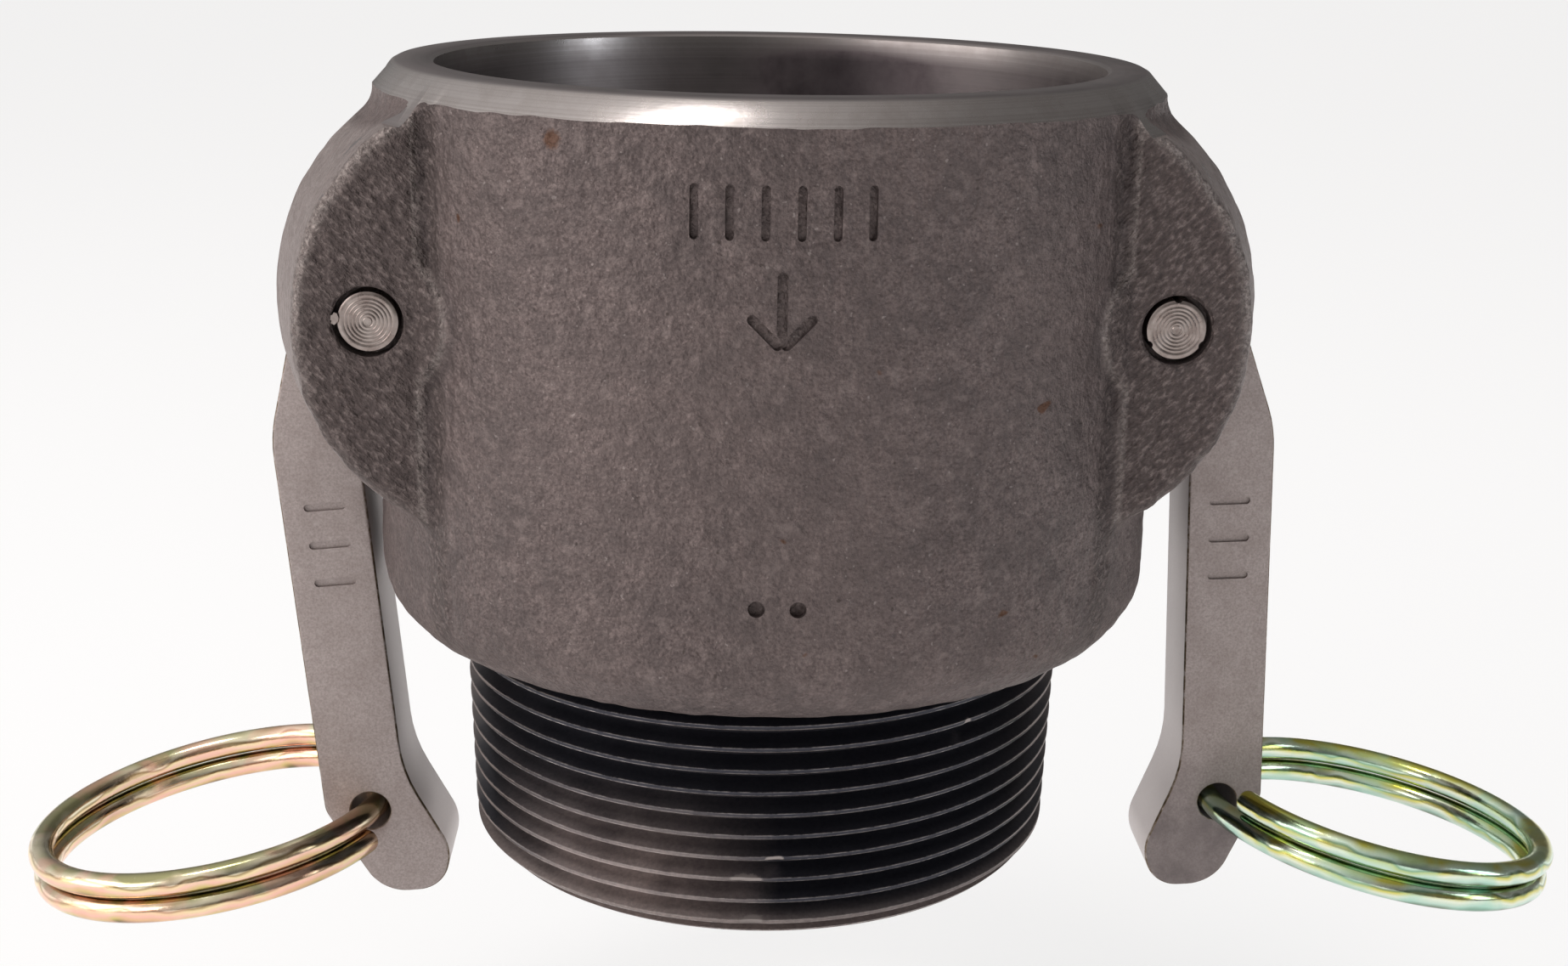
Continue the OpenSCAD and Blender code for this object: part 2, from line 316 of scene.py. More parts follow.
def evaluated_mesh(obj):
    """A new mesh with the object's modifiers or curve settings applied."""
    graph = bpy.context.evaluated_depsgraph_get()
    return bpy.data.meshes.new_from_object(obj.evaluated_get(graph))


def combine(obj, tool, operation):
    """Joins, cuts or intersects obj with a tool, which is used up."""
    modifier = obj.modifiers.new(operation, "BOOLEAN")
    modifier.solver = "MANIFOLD"
    modifier.operation = operation
    modifier.object = tool
    mesh = evaluated_mesh(obj)
    mesh.materials.clear()
    obj.modifiers.clear()
    used = [obj.data, tool.data]
    obj.data = mesh
    bpy.data.objects.remove(tool)
    for old in used:
        bpy.data.meshes.remove(old)


def cut(obj, tool):
    combine(obj, tool, "DIFFERENCE")


def revolve(name, profile, steps, matrix=None):
    """A solid of revolution about Z from a closed outline of (radius, height) points."""
    count = len(profile)
    points = []
    for i in range(steps):
        a = 2 * math.pi * i / steps
        points += [(r * math.cos(a), r * math.sin(a), z) for r, z in profile]
    faces = []
    for i in range(steps):
        here, there = i * count, ((i + 1) % steps) * count
        for k in range(count):
            n = (k + 1) % count
            if profile[k][0] < 1e-6 and profile[n][0] < 1e-6:
                continue
            faces.append((here + k, here + n, there + n, there + k))
    obj = new_object(name, points, faces)
    if matrix is not None:
        obj.data.transform(matrix)
    return obj


def along_y(x, z):
    """Turns a shape about Z into one about the Y direction through (x, z)."""
    return Matrix.Translation((x, 0, z)) @ Matrix.Rotation(math.radians(90), 4, "X")


def bar_y(name, x, z, r, half, steps=96):
    """A round bar along Y, centred on Y = 0."""
    return revolve(name, [(0, -half), (r, -half), (r, half), (0, half)], steps, along_y(x, z))


def block(name, low, high):
    """A box between two corners."""
    corners = list(itertools.product(*zip(low, high)))
    faces = [(0, 1, 3, 2), (4, 6, 7, 5), (0, 4, 5, 1), (2, 3, 7, 6), (0, 2, 6, 4), (1, 5, 7, 3)]
    return new_object(name, corners, faces)


def arc(centre, r, start, end, steps):
    """Points of an arc, angles in degrees."""
    angles = [math.radians(start + (end - start) * k / steps) for k in range(steps + 1)]
    return [(centre[0] + r * math.cos(a), centre[1] + r * math.sin(a)) for a in angles]


def rounded(corners, step=6):
    """An outline with its corners rounded, from (x, y, radius) corners."""
    outline = []
    for i, (x, y, r) in enumerate(corners):
        p = Vector((x, y))
        u = (Vector(corners[i - 1][:2]) - p).normalized()
        v = (Vector(corners[(i + 1) % len(corners)][:2]) - p).normalized()
        half = u.angle(v) / 2
        centre = p + (u + v).normalized() * r / math.sin(half)
        first = p + u * r / math.tan(half) - centre
        last = p + v * r / math.tan(half) - centre
        start = math.degrees(math.atan2(first.y, first.x))
        turn = (math.degrees(math.atan2(last.y, last.x)) - start + 180) % 360 - 180
        outline += arc(centre, r, start, start + turn, max(4, round(abs(turn) / step)))
    return outline


def stadium(x, y, length, width, angle=0.0, steps=8):
    """A bar with round ends, as an outline of (x, y) points."""
    r, half = width / 2, (length - width) / 2
    points = arc((half, 0), r, -90, 90, steps) + arc((-half, 0), r, 90, 270, steps)
    c, s = math.cos(math.radians(angle)), math.sin(math.radians(angle))
    return [(x + c * px - s * py, y + s * px + c * py) for px, py in points]


def prism(name, outline, place_low, place_high):
    """A solid between two copies of an outline, each placed by its own function."""
    count = len(outline)
    points = [place_low(x, y) for x, y in outline] + [place_high(x, y) for x, y in outline]
    faces = [tuple(range(count)), tuple(range(2 * count - 1, count - 1, -1))]
    faces += [(k, (k + 1) % count, count + (k + 1) % count, count + k) for k in range(count)]
    return new_object(name, points, faces)


def prism_y(name, outline, low, high):
    """A solid between two depths along Y, from an outline of (x, z) points."""
    return prism(name, outline, lambda x, z: (x, low, z), lambda x, z: (x, high, z))


def lattice_noise(points, scale, seed):
    """Smooth noise from -1 to 1 at each point, from one random value per lattice corner."""
    size = 64
    table = np.random.default_rng(seed).uniform(-1, 1, (size, size, size))
    cell = np.floor(points / scale).astype(int)
    part = points / scale - cell
    part = part * part * (3 - 2 * part)
    total = np.zeros(len(points))
    for corner in itertools.product((0, 1), repeat=3):
        i = (cell + corner) % size
        weight = np.prod(np.where(corner, part, 1 - part), axis=1)
        total += weight * table[i[:, 0], i[:, 1], i[:, 2]]
    return total


def fade(value, start, end):
    """0 at start and before, 1 at end and past it, straight between."""
    return np.clip((value - start) / (end - start), 0, 1)


def bell(value, centre, width):
    """1 at the centre, falling off smoothly on both sides."""
    return np.exp(-((value - centre) / width) ** 2)


def smooth_min(a, b, k):
    """Joins two distances with a fillet about k wide."""
    h = np.clip(0.5 + 0.5 * (b - a) / k, 0, 1)
    return b + (a - b) * h - k * h * (1 - h)


def smooth_max(a, b, k):
    return -smooth_min(-a, -b, k)


def vectors(items, field):
    """A vector of each vertex or face, one to a row."""
    flat = np.empty(3 * len(items))
    items.foreach_get(field, flat)
    return flat.reshape(-1, 3)


def set_points(mesh, points):
    mesh.vertices.foreach_set("co", points.ravel())
    mesh.update()


def add_attribute(mesh, name, values):
    """A value per point that a material can read."""
    layer = mesh.attributes.new(name, "FLOAT", "POINT")
    layer.data.foreach_set("value", np.ascontiguousarray(values, dtype=np.float32))


def publish(obj, body, node, materials, sharp=35):
    """Scales a finished piece to metres, smooths its shading and puts it on its CAD body."""
    mesh = obj.data
    mesh.transform(Matrix.Scale(MM, 4))
    mesh.shade_smooth()
    mesh.set_sharp_from_angle(angle=math.radians(sharp))
    for material in materials:
        mesh.materials.append(material)
    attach(obj, body)
    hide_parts(node)


# ------------------------------ material helpers

class Nodes:
    """Adds to a node tree in a few words."""

    def __init__(self, tree):
        self.tree = tree

    def add(self, kind, **settings):
        node = self.tree.nodes.new(kind)
        for key, value in settings.items():
            setattr(node, key, value)
        return node

    def set(self, node, name, value):
        """Links an output to an input, or sets the input's value."""
        target = node.inputs[name]
        if isinstance(value, bpy.types.NodeSocket):
            self.tree.links.new(value, target)
        elif isinstance(value, tuple) and target.type == "RGBA":
            target.default_value = (*value, 1)
        else:
            target.default_value = value

    def math(self, operation, a, b=0.0, clamp=False):
        node = self.add("ShaderNodeMath", operation=operation, use_clamp=clamp)
        self.set(node, 0, a)
        self.set(node, 1, b)
        return node.outputs[0]

    def times(self, first, *others):
        """The product of several values."""
        for other in others:
            first = self.math("MULTIPLY", first, other)
        return first

    def fade(self, value, start, end):
        """0 at start and before, 1 at end and past it, straight between."""
        return self.math("DIVIDE", self.math("SUBTRACT", value, start), end - start, clamp=True)

    def ramp(self, value, *stops):
        """A colour ramp from (position, colour) stops, where a colour is a grey or three values."""
        node = self.add("ShaderNodeValToRGB")
        elements = node.color_ramp.elements
        while len(elements) < len(stops):
            elements.new(0.5)
        for element, (place, colour) in zip(elements, stops):
            element.position = place
            element.color = (*colour, 1) if isinstance(colour, tuple) else (colour,) * 3 + (1,)
        self.set(node, "Fac", value)
        return node.outputs["Color"]

    def mask(self, value, start, end, strength):
        """0 up to start, rising to strength at end."""
        return self.ramp(value, (start, 0.0), (end, strength))

    def mix(self, factor, a, b):
        """Colour a, turned into colour b as the factor goes from 0 to 1."""
        node = self.add("ShaderNodeMix", data_type="RGBA")
        self.set(node, 0, factor)
        self.set(node, 6, a)
        self.set(node, 7, b)
        return node.outputs[2]

    def split(self, vector):
        node = self.add("ShaderNodeSeparateXYZ")
        self.set(node, 0, vector)
        return node.outputs

    def join(self, x, y, z):
        node = self.add("ShaderNodeCombineXYZ")
        for index, value in enumerate((x, y, z)):
            self.set(node, index, value)
        return node.outputs[0]


class Material(Nodes):
    """Builds a material round one shader, with textures that are laid out in millimetres."""

    def __init__(self, name):
        self.material = bpy.data.materials.new(name)
        self.material.use_nodes = True
        super().__init__(self.material.node_tree)
        self.tree.nodes.clear()
        self.shader = self.add("ShaderNodeBsdfPrincipled")
        output = self.add("ShaderNodeOutputMaterial")
        self.set(output, "Surface", self.shader.outputs[0])
        scale = self.add("ShaderNodeVectorMath", operation="SCALE")
        self.set(scale, 0, self.add("ShaderNodeTexCoord").outputs["Object"])
        self.set(scale, "Scale", 1 / MM)
        self.mm = scale.outputs[0]

    def attribute(self, name):
        return self.add("ShaderNodeAttribute", attribute_name=name).outputs["Fac"]

    def noise(self, size, detail=2.0, rough=0.5, at=None, warp=0.0):
        """Noise whose features are about size millimetres across."""
        node = self.add("ShaderNodeTexNoise")
        self.set(node, "Vector", at or self.mm)
        self.set(node, "Scale", 1 / size)
        self.set(node, "Detail", detail)
        self.set(node, "Roughness", rough)
        self.set(node, "Distortion", warp)
        return node.outputs["Fac"]

    def distance(self, point):
        """How far the shaded point lies from a fixed one, in millimetres."""
        node = self.add("ShaderNodeVectorMath", operation="DISTANCE")
        self.set(node, 0, self.mm)
        self.set(node, 1, point)
        return node.outputs["Value"]

    def turned(self, grain):
        """A coordinate that is constant round the Z axis, for lathe marks a grain apart."""
        x, y, z = self.split(self.mm)
        r = self.math("SQRT", self.math("ADD", self.times(x, x), self.times(y, y)))
        return self.join(self.math("DIVIDE", r, grain), self.math("DIVIDE", z, grain), 0.0)

    def slanted(self, across, along):
        """A coordinate stretched along the slant of the ears' grain. Sizes in millimetres."""
        x, y, z = self.split(self.mm)
        out = self.math("ABSOLUTE", x)
        return self.join(self.math("DIVIDE", self.math("ADD", out, z), along * math.sqrt(2)),
                         self.math("DIVIDE", self.math("SUBTRACT", out, z), across * math.sqrt(2)),
                         self.math("DIVIDE", y, across))

    def bump(self, height, depth, below=None):
        """Relief from a height map, depth in millimetres."""
        node = self.add("ShaderNodeBump")
        self.set(node, "Height", height)
        self.set(node, "Distance", depth * MM)
        self.set(node, "Strength", 1.0)
        if below is not None:
            self.set(node, "Normal", below)
        return node.outputs[0]

    def finish(self, **inputs):
        for name, value in inputs.items():
            self.set(self.shader, name.replace("_", " "), value)
        return self.material


# ------------------------------ materials

def cast_metal():
    """Shot-blasted casting: sandy grain, tone patches, a few rust spots, worn edges showing the metal, a
    painted highlight and painted shadow along the ears' inner edges, and painted light on the thread's
    chamfered end.
    """
    n = Material("cast_metal")
    x, y, z = n.split(n.mm)
    grain = n.noise(0.3, 3, 0.6)
    colour = n.ramp(grain, (0.3, CAST["grain_dark"]), (0.7, CAST["grain_light"]))
    colour = n.mix(n.mask(n.noise(4, 3, 0.6), 0.38, 0.66, 0.65), colour, CAST["patch"])
    colour = n.mix(n.mask(n.noise(1.3, 3, 0.6), 0.52, 0.72, 0.5), colour, CAST["lump"])
    colour = n.mix(n.mask(n.noise(26, 2), 0.4, 0.65, 0.3), colour, CAST["tone"])
    colour = n.mix(n.mask(n.noise(0.5, 1), 0.72, 0.78, 0.5), colour, CAST["fleck"])
    pit = n.ramp(n.noise(0.7, 1, at=n.join(y, z, x)), (0.2, 0.7), (0.27, 0.0))
    colour = n.mix(pit, colour, CAST["pit"])

    stain_edge = n.math("SUBTRACT", n.distance(RUST_SPOT), n.times(grain, 0.8))
    stain = n.ramp(stain_edge, (0.15, 0.8), (0.6, 0.0))
    rust = n.math("MAXIMUM", n.mask(n.noise(3.1, 1, warp=0.4), 0.775, 0.8, 0.85), stain)
    colour = n.mix(rust, colour, CAST["rust"])

    face = n.attribute("ear_face")
    streaks = n.noise(1, 3, 0.65, at=n.slanted(0.42, 0.85))
    ridges = n.ramp(streaks, (0.32, CAST["ridge_low"]), (0.52, CAST["ridge_middle"]),
                    (0.7, CAST["ridge_high"]))
    colour = n.mix(n.times(face, 0.85), colour, ridges)
    flank = n.times(n.attribute("ear_flank"), n.ramp(n.noise(0.9, 3, 0.6), (0.3, 0.3), (0.7, 0.7)))
    colour = n.mix(flank, colour, CAST["flank"])
    # Painted shadow: a dark band beside the raised lip at each ear's inner edge.
    colour = n.mix(n.times(n.attribute("groove"), 0.45), colour, CAST["groove"])
    worn = n.ramp(n.noise(0.45, 4, 0.75), (0.42, 0.15), (0.62, 0.75))
    # Worn edges, painted highlights along the ears' inner edges and painted light on the thread's chamfered
    # end.
    bare_and_lit = n.times(n.attribute("wear_and_painted_light"), worn)
    colour = n.mix(bare_and_lit, colour, CAST["bare_and_lit"])

    relief = n.bump(n.noise(0.38, 4, 0.65), 0.09)
    relief = n.bump(n.noise(1.1, 3, 0.55), 0.5, relief)
    relief = n.bump(n.times(streaks, face), 0.3, relief)
    rough = n.math("SUBTRACT", n.ramp(grain, (0.3, 0.62), (0.7, 0.5)), n.times(bare_and_lit, 0.15))
    return n.finish(Base_Color=colour, Metallic=0.7, Roughness=rough, Normal=relief)


def turned_metal():
    """Machined steel: faint lathe lines, a mottled grey-brown film, painted shade in the bore and on the
    cone's left end, and a rougher brown rim.
    """
    n = Material("turned_metal")
    lines = n.noise(1, 3, 0.6, at=n.turned(0.25))
    film = n.noise(3.5, 4, 0.65)
    colour = n.ramp(lines, (0.3, TURNED["dark"]), (0.7, TURNED["light"]))
    colour = n.mix(n.mask(film, 0.42, 0.72, 0.45), colour, TURNED["film"])
    # Painted shade in the bore and on the cone's left end, and the brown rim.
    brown_tone_and_shade = n.attribute("brown_tone_and_shade")
    brown = n.math("MINIMUM", brown_tone_and_shade, 1.0)
    colour = n.mix(brown, colour, n.ramp(film, (0.3, TURNED["brown_dark"]), (0.7, TURNED["brown_light"])))
    colour = n.mix(n.math("SUBTRACT", brown_tone_and_shade, 1.0, clamp=True), colour, TURNED["bore_centre_shade"])
    rough = n.math("ADD", n.ramp(film, (0.35, 0.23), (0.7, 0.31)), n.times(brown, 0.25))
    relief = n.bump(lines, 0.003)
    relief = n.bump(n.noise(0.8, 3, 0.6), 0.008, relief)
    return n.finish(Base_Color=colour, Metallic=1.0, Roughness=rough, Normal=relief)


def thread_metal():
    """Cut thread with an oily black film, a painted light patch low on its front left, painted sheen where
    it is seen edge-on, painted light from below on its end and thin crest edges lit by painted highlights.
    """
    n = Material("thread_metal")
    x, _, z = n.split(n.mm)
    film = n.noise(6, 3, 0.6)
    fine = n.noise(0.4, 3, 0.6)
    lines = n.noise(1, 3, 0.6, at=n.turned(0.12))
    colour = n.mix(fine, THREAD["dark"], THREAD["light"])

    # Painted light on the lower left of the front, where light from the front left and from below falls.
    patch_x, patch_half, patch_low, patch_high = -13.0, 14.0, 6.0, 15.0
    off = n.math("DIVIDE", n.math("SUBTRACT", x, patch_x), patch_half)
    near = n.math("SUBTRACT", 1.0, n.times(off, off), clamp=True)
    mottle = n.times(n.ramp(film, (0.2, 0.5), (0.6, 1.0)), n.ramp(fine, (0.3, 0.65), (0.7, 1.0)))
    painted_light_patch = n.times(n.fade(z, patch_high, patch_low), near, mottle)
    colour = n.mix(painted_light_patch, colour, THREAD["painted_light_patch"])

    # Painted sheen: lighter where the thread is seen edge-on.
    weight = n.add("ShaderNodeLayerWeight")
    n.set(weight, "Blend", 0.5)
    grazing_sheen = n.mask(weight.outputs["Facing"], 0.58, 0.72, 0.8)
    colour = n.mix(grazing_sheen, colour, THREAD["grazing_sheen"])
    # Painted light from below: the thread grows lighter towards its chamfered end.
    end = n.fade(z, 2.9, 1.7)
    colour = n.mix(n.times(end, 0.85), colour, n.mix(fine, THREAD["end_dark"], THREAD["end_light"]))

    # Painted highlights: thin bright lines along the crests, broken up and weaker where the thread is seen
    # edge-on.
    broken = n.ramp(n.noise(1.4, 4, 0.75), (0.4, 0.05), (0.62, 0.85))
    bright = n.times(n.attribute("crest_edge"), broken, n.math("SUBTRACT", 1.0, grazing_sheen))
    colour = n.mix(bright, colour, THREAD["crest"])
    ragged = n.math("ADD", n.noise(0.5, 3, 0.7), 0.45)
    nick = n.mask(n.times(n.attribute("nick"), ragged), 0.4, 0.6, 1.0)
    colour = n.mix(nick, colour, THREAD["nick"])

    extra_roughness = n.math("MAXIMUM", n.math("MAXIMUM", n.times(painted_light_patch, 0.6), grazing_sheen), end)
    rough = n.math("ADD", n.ramp(film, (0.3, 0.3), (0.7, 0.42)), n.times(extra_roughness, 0.25))
    relief = n.bump(lines, 0.006)
    relief = n.bump(fine, 0.01, relief)
    return n.finish(Base_Color=colour, Metallic=0.9, Roughness=rough, Normal=relief)


def arm_metal():
    """Matt blasted arm: soft mottling, faint rubs and scratches, painted shade at the right arm's foot."""
    n = Material("arm_metal")
    x, y, z = n.split(n.mm)
    grain = n.noise(0.22, 2, 0.6)
    patch = n.noise(4, 3, 0.6)
    colour = n.ramp(grain, (0.3, ARM["dark"]), (0.7, ARM["light"]))
    colour = n.mix(n.mask(patch, 0.4, 0.75, 0.45), colour, ARM["patch"])
    colour = n.mix(n.mask(n.noise(1.6, 3, 0.6), 0.62, 0.72, 0.35), colour, ARM["rub"])
    # Painted shade: the right arm darkens towards its foot.
    foot = n.times(n.fade(z, 9.0, 0.0), n.math("GREATER_THAN", x, 0.0))
    colour = n.mix(n.times(foot, n.ramp(patch, (0.3, 0.5), (0.7, 0.9))), colour, ARM["foot_shade"])
    colour = n.mix(n.times(n.attribute("cut_side"), 0.9), colour, ARM["cut_side"])
    thin, long = 0.14, 4.0
    along = n.join(n.math("DIVIDE", x, thin), n.math("DIVIDE", y, thin), n.math("DIVIDE", z, long))
    colour = n.mix(n.mask(n.noise(1, 2, 0.7, at=along), 0.72, 0.78, 0.5), colour, ARM["scratch"])
    relief = n.bump(n.noise(0.3, 3, 0.6), 0.016)
    relief = n.bump(n.noise(3.0, 2), 0.03, relief)
    rough = n.ramp(grain, (0.3, 0.58), (0.7, 0.48))
    return n.finish(Base_Color=colour, Metallic=0.55, Roughness=rough, Normal=relief)


def arm_edge_metal():
    """The sheared edge line round an arm's faces."""
    n = Material("arm_edge_metal")
    colour = n.ramp(n.noise(1.3, 4, 0.7), (0.38, ARM["edge_dark"]), (0.5, ARM["edge_middle"]),
                    (0.62, ARM["edge_light"]))
    return n.finish(Base_Color=colour, Metallic=0.7, Roughness=0.5)


def pin_metal():
    """Bright turned pin."""
    n = Material("pin_metal")
    smear = n.noise(1.2, 3, 0.6)
    colour = n.ramp(smear, (0.35, PIN["dark"]), (0.7, PIN["light"]))
    return n.finish(Base_Color=colour, Metallic=1.0, Roughness=n.ramp(smear, (0.3, 0.24), (0.7, 0.36)),
                    Normal=n.bump(n.noise(0.25, 2), 0.008))


def passivated_zinc(side):
    """Zinc plate with a thin clear film, whose colour drifts along the wire. The colour also turns with the
    wire's round, which paints shade, dark reflections and highlights on it.
    """
    name, blush_tint, tints = RING_FILM_AND_LIGHT[side]
    n = Material(name)
    facing_up = n.split(n.add("ShaderNodeNewGeometry").outputs["Normal"])[2]
    drift = n.math("SUBTRACT", n.noise(8.0, 2, 0.5, warp=0.5), 0.5)
    # Painted light: the tint follows which way the wire faces, darkest facing down, with a dark band and a
    # pale highlight towards the top.
    film = n.math("ADD", n.times(facing_up, 0.5), n.math("ADD", n.times(drift, 1.1), 0.5))
    colour = n.ramp(film, *zip(FILM_AND_LIGHT_PLACES, tints))
    blush = n.mask(n.noise(5.0, 2, 0.5, warp=0.6), 0.46, 0.62, 0.75)
    colour = n.mix(blush, colour, n.mix(0.55, colour, blush_tint))
    smear = n.noise(1.0, 3, 0.6)
    scuff = n.mask(n.noise(0.45, 4, 0.75), 0.66, 0.74, 0.5)
    colour = n.mix(scuff, colour, BARE_ZINC)
    rough = n.math("ADD", n.ramp(smear, (0.35, 0.14), (0.7, 0.26)), n.times(scuff, 0.15))
    relief = n.bump(n.noise(0.5, 2), 0.008)
    relief = n.bump(n.noise(5.0, 2), 0.015, relief)
    return n.finish(Base_Color=colour, Metallic=1.0, Roughness=rough, Normal=relief)


def black_rubber():
    """Moulded rubber."""
    n = Material("black_rubber")
    colour = n.ramp(n.noise(2.5, 3, 0.6), (0.4, RUBBER["dark"]), (0.75, RUBBER["light"]))
    return n.finish(Base_Color=colour, Roughness=0.55, Normal=n.bump(n.noise(0.2, 2), 0.01))


# ------------------------------ body

def ear_face_distance(x, z):
    """How far a point lies outside the ear's outline at its face."""
    upper = np.hypot(x - EAR_UPPER_CENTRE[0], z - EAR_UPPER_CENTRE[1]) - EAR_UPPER_R
    lower = np.hypot(x - EAR_LOWER_CENTRE[0], z - EAR_LOWER_CENTRE[1]) - EAR_LOWER_R
    return np.where(z > EAR_LOWER_CENTRE[1] + 0.5, upper, lower)


def boss_distance(x, z):
    """How far a point lies outside the round boss about a pin's end."""
    return np.hypot(x - PIN_X, z - PIN_Z) - BOSS_R


def beside_ear(x, z):
    """How far a point lies outside the plan of an ear and its boss."""
    return np.minimum(np.maximum(EAR_ROOT_X - x, ear_face_distance(x, z)), boss_distance(x, z))


def casting_distance(x, y, z):
    """Signed distance of the raw casting: a barrel with a round shoulder and four ears."""
    wall = BARREL_R + (BARREL_TOP_R - BARREL_R) * fade(z, SHOULDER_Z, HEIGHT)
    across = np.hypot(x, y) - (wall - SHOULDER_ROUND)
    down = (SHOULDER_Z + SHOULDER_ROUND) - z
    outside = np.hypot(np.maximum(across, 0), np.maximum(down, 0))
    barrel = outside + np.minimum(np.maximum(across, down), 0) - SHOULDER_ROUND

    ax, ay = np.abs(x), np.abs(y)
    reach = fade(z, VALLEY_Z[0], VALLEY_Z[0] + VALLEY_RUN_OUT) * (ay > EAR_SLOT_Y)
    reach = reach * fade(z, VALLEY_Z[1], VALLEY_Z[1] - VALLEY_RUN_OUT)
    lip = LIP_HEIGHT * bell(ax, EAR_ROOT_X - 0.3, 0.55) * reach
    barrel = barrel + VALLEY_DEPTH * bell(beside_ear(ax, z), 1.2, 1.0) * reach - lip

    blend = fade(ay, EAR_SLOT_Y, EAR_FACE_Y)
    slot_outline = np.hypot(ax - EAR_LOWER_CENTRE[0], z - EAR_LOWER_CENTRE[1]) - EAR_SLOT_R
    outline = slot_outline + (ear_face_distance(ax, z) - slot_outline) * blend
    plan = smooth_max(outline, EAR_ROOT_X - ax, EAR_ROOT_ROUND)
    ear = smooth_max(plan, ay - EAR_FACE_Y - lip, EAR_FACE_ROUND)
    pad = fade(boss_distance(ax, z), 0, -0.5) * fade(ax, EAR_ROOT_X + 0.4, EAR_ROOT_X - 0.6)
    whole = smooth_min(barrel, ear, EAR_FILLET) - BOSS_RISE * pad * pad * (3 - 2 * pad)
    return np.maximum(whole, z - (HEIGHT + 1.5))


def on_ear_face(points):
    """1 on the ears' raised faces, 0 elsewhere."""
    ax, ay = np.abs(points[:, 0]), np.abs(points[:, 1])
    return fade(ay, EAR_FACE_Y - 1.0, EAR_FACE_Y - 0.5) * fade(ax, EAR_ROOT_X - 2.5, EAR_ROOT_X - 1.9)


def ear_grain(points):
    """The coarse slanting grain of the ears' faces."""
    ax, y, z = np.abs(points[:, 0]), points[:, 1], points[:, 2]
    along, across = (ax + z) * math.sqrt(0.5), (ax - z) * math.sqrt(0.5)
    streaks = lattice_noise(np.stack([along, y, across * 2], axis=1), 1.6, 14)
    return 0.6 * streaks + lattice_noise(points, 0.9, 15)


def raw_casting():
    """The casting's skin as an even mesh, with its blasted texture as real relief."""
    low = np.array([-50.0, -41.0, 21.0])
    high = np.array([50.0, 41.0, HEIGHT + 3.0])
    counts = np.ceil((high - low) / VOXEL).astype(int) + 1
    axes = [low[k] + VOXEL * np.arange(counts[k]) for k in range(3)]
    x, y, z = np.meshgrid(*axes, indexing="ij", sparse=True)
    grid = openvdb.FloatGrid(10.0)
    grid.copyFromArray(casting_distance(x, y, z).astype(np.float32))
    points, quads = grid.convertToQuads(0.0)
    casting = new_object("coupling_body", points * VOXEL + low, quads)

    mesh = casting.data
    points = vectors(mesh.vertices, "co")
    relief = sum(height * lattice_noise(points, size, seed) for height, size, seed in RELIEF)
    relief += EAR_GRAIN_HEIGHT * on_ear_face(points) * ear_grain(points)
    set_points(mesh, points + vectors(mesh.vertices, "normal") * relief[:, None])
    return casting


def nick_strength(points):
    """1 in the middle of each nick, fading to 0 around it."""
    x, y, z = points.T
    total = np.zeros(len(points))
    for angle, height, length in NICKS:
        along = np.radians(np.degrees(np.arctan2(x, -y)) - angle) * CREST_R
        total += np.exp(-(along / length * 1.6) ** 4 - ((z - height) / 0.55) ** 4)
    return np.where(z < SHOULDER_Z, total, 0)


def threaded_rod():
    """The pipe thread on a solid rod, cut to length with a chamfered end."""
    form = len(THREAD_FORM)
    rows = form * TURNS
    column = rows + form + 1
    start = -1.5 * PITCH

    def height(i, k):
        return start + PITCH * (k // form + THREAD_FORM[k % form][0] + i / THREAD_STEPS)

    points = []
    for i in range(THREAD_STEPS):
        a = 2 * math.pi * i / THREAD_STEPS
        for k in range(column):
            z = height(i, k)
            r = CREST_R + z * TAPER - THREAD_DEPTH * THREAD_FORM[k % form][1]
            points.append((r * math.cos(a), r * math.sin(a), z))

    def index(i, k):
        """The column after the last is the first one, a whole turn further up."""
        return i * column + k if i < THREAD_STEPS else k + form

    low, high = len(points), len(points) + 1
    points += [(0, 0, height(0, 0) - PITCH), (0, 0, height(0, rows) + 2 * PITCH)]
    faces = []
    for i in range(THREAD_STEPS):
        for k in range(rows):
            faces.append((index(i, k), index(i + 1, k), index(i + 1, k + 1), index(i, k + 1)))
        faces.append((low, index(i + 1, 0), index(i, 0)))
        faces.append((high, index(i, rows), index(i + 1, rows)))
    for k in range(form):
        faces.append((low, index(0, k), index(0, k + 1)))
        faces.append((high, index(0, rows + k + 1), index(0, rows + k)))
    rod = new_object("rod", points, faces)

    points = vectors(rod.data.vertices, "co")
    radial = points * (1, 1, 0) / np.maximum(np.hypot(points[:, 0], points[:, 1]), 1)[:, None]
    depth = NICK_DEPTH * nick_strength(points) * (0.6 + 0.4 * lattice_noise(points, 0.5, 21))
    set_points(rod.data, points - radial * depth[:, None])

    top, wide = SHOULDER_Z + 3, END_R + 4
    limit = [(0, 0), (END_R - 0.3, 0), (END_R, 0), (wide, wide - END_R), (wide, top), (0, top)]
    combine(rod, revolve("limit", limit, THREAD_STEPS), "INTERSECT")
    return rod


def turning_waste():
    """What the lathe takes off above the rim and outside the cone under it."""
    edge, above = 0.25, HEIGHT + 10
    profile = [(0, HEIGHT), (RIM_R - edge, HEIGHT), (RIM_R + edge * CONE_SLOPE, HEIGHT - edge),
               (CONE_END_R, CONE_END_Z), (CLEAR, CONE_END_Z), (CLEAR, above), (0, above)]
    return revolve("waste", profile, LATHE_STEPS)


